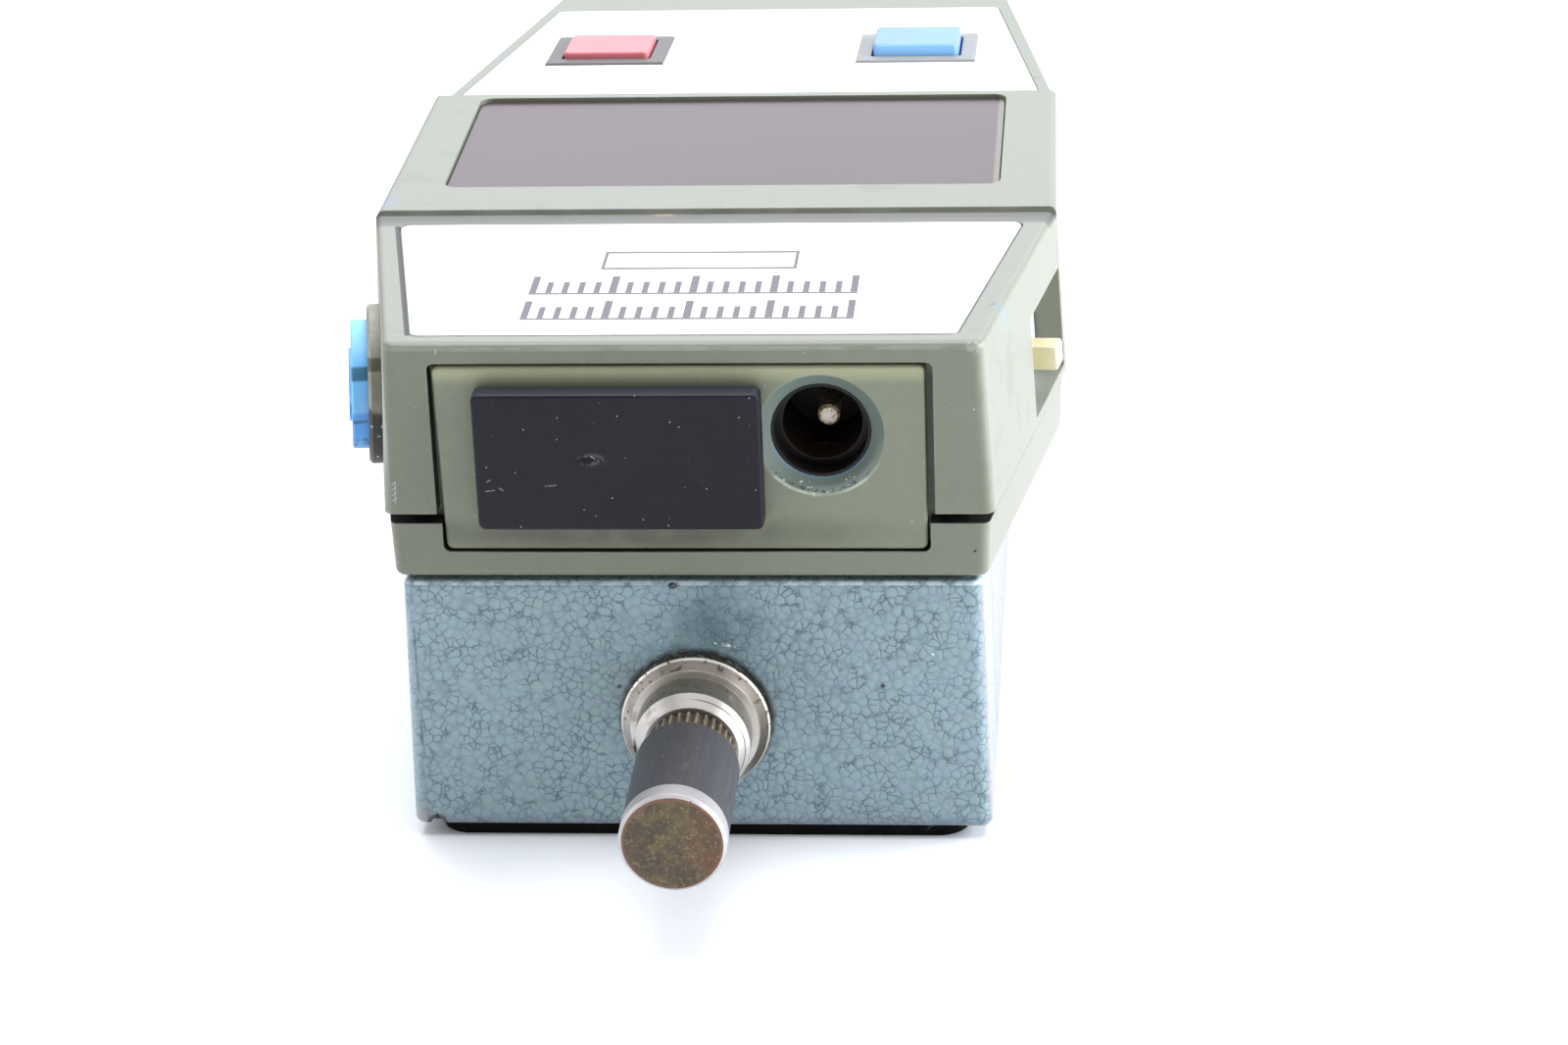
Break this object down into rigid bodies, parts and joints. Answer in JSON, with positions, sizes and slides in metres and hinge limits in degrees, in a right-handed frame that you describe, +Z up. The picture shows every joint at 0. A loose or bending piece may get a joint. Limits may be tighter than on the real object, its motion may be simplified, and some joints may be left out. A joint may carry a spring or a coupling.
{
  "type": "digital dial indicator",
  "caption": "Digital dial indicator: painted metal gauge body with a sliding spindle and flat contact, under a plastic case with display window, keys and connectors.",
  "frame": {"origin": "on the stem axis, at the shoulder where the stem's collar starts", "axes": "+Y along the stem axis from the contact back into the body, +X to the right seen from the contact, +Z up from the back plate to the display"},
  "size_m": [0.0712, 0.1561, 0.0525],
  "materials": {
    "hammered_paint": "blue-green hammered enamel",
    "black_plate": "satin black",
    "screw_steel": "plain steel",
    "stem_steel": "ground steel, soiled at the edges",
    "anvil_steel": "ground steel with a brown worn face",
    "sleeve_black": "blackened steel",
    "bronze": "plain bronze",
    "alloy": "machined",
    "scale_glass": "clear glass with a fine grating",
    "case_plastic": "green-grey moulded plastic",
    "panel_plastic": "green-grey moulded plastic, slightly greener",
    "cap_rubber": "matt black rubber",
    "black_plastic": "black moulded plastic",
    "plated_pin": "plated, dull",
    "label_white": "white plate, bare of any print",
    "window_red": "dark red-brown filter",
    "board_green": "glass-fibre circuit board",
    "chip_black": "moulded epoxy",
    "can_sleeve": "capacitor sleeve",
    "digit_red": "red lamp digits",
    "bezel_grey": "grey moulded plastic",
    "key_red": "red moulded plastic",
    "key_blue": "blue moulded plastic",
    "knob_cream": "yellowed cream plastic",
    "ring_grey": "grey knurled nut, soiled"
  },
  "bodies": {
    "case": {"gauge_body": "hammered_paint", "back_plate": "black_plate", "back_plate_screws": "screw_steel", "stem_bush": "stem_steel", "stem_nut": "screw_steel", "rear_bush": "bronze", "guide_rod": "screw_steel", "reading_head": "black_plastic", "reading_head_screws": "screw_steel", "lower_case": "case_plastic", "upper_case": "case_plastic", "case_screws": "screw_steel", "mounting_screws": "screw_steel", "connector_panel": "panel_plastic", "output_connector": "black_plastic", "connector_pins": "plated_pin", "supply_jack": "black_plastic", "supply_jack_pin": "plated_pin", "supply_jack_spring": "plated_pin", "front_label": "label_white", "display_window": "window_red", "display_board": "board_green", "led_digits": "digit_red", "main_board": "board_green", "board_chips": "chip_black", "power_capacitor": "can_sleeve", "board_screws": "screw_steel", "keypad_plate": "label_white", "button_bezels": "bezel_grey", "key_board": "board_green", "key_switches": "black_plastic", "slide_switch_body": "black_plastic", "pocket_label": "label_white", "side_ring": "ring_grey", "side_switch": "black_plastic"},
    "spindle": {"spindle": "stem_steel", "contact_base": "stem_steel", "contact_sleeve": "sleeve_black", "contact_anvil": "anvil_steel", "scale_carrier": "alloy", "carrier_screw": "screw_steel", "glass_scale": "scale_glass"},
    "connector_cover": {"connector_cap": "cap_rubber"},
    "red_key": {"red_button": "key_red"},
    "blue_key": {"blue_button": "key_blue"},
    "side_key": {"side_button": "key_blue"},
    "switch_knob": {"slide_switch_knob": "knob_cream"}
  },
  "joints": [
    {"name": "spindle_slide", "type": "slide", "parent": "case", "child": "spindle", "axis": [0, -1, 0], "range_m": [0, 0.0305]},
    {"name": "cover_pull", "type": "slide", "parent": "case", "child": "connector_cover", "axis": [0, -1, 0], "range_m": [0, 0.012]},
    {"name": "red_key_press", "type": "slide", "parent": "case", "child": "red_key", "axis": [0, -0.0872, -0.9962], "range_m": [0, 0.0008], "stiffness_N_per_m": 800, "springref_m": -0.0005},
    {"name": "blue_key_press", "type": "slide", "parent": "case", "child": "blue_key", "axis": [0, -0.0872, -0.9962], "range_m": [0, 0.0008], "stiffness_N_per_m": 800, "springref_m": -0.0005},
    {"name": "side_key_press", "type": "slide", "parent": "case", "child": "side_key", "axis": [0.9827, 0.1777, -0.0529], "range_m": [0, 0.001], "stiffness_N_per_m": 800, "springref_m": -0.0005},
    {"name": "switch_slide", "type": "slide", "parent": "case", "child": "switch_knob", "axis": [0.1779, 0.984, 0], "range_m": [0, 0.004]}
  ]
}
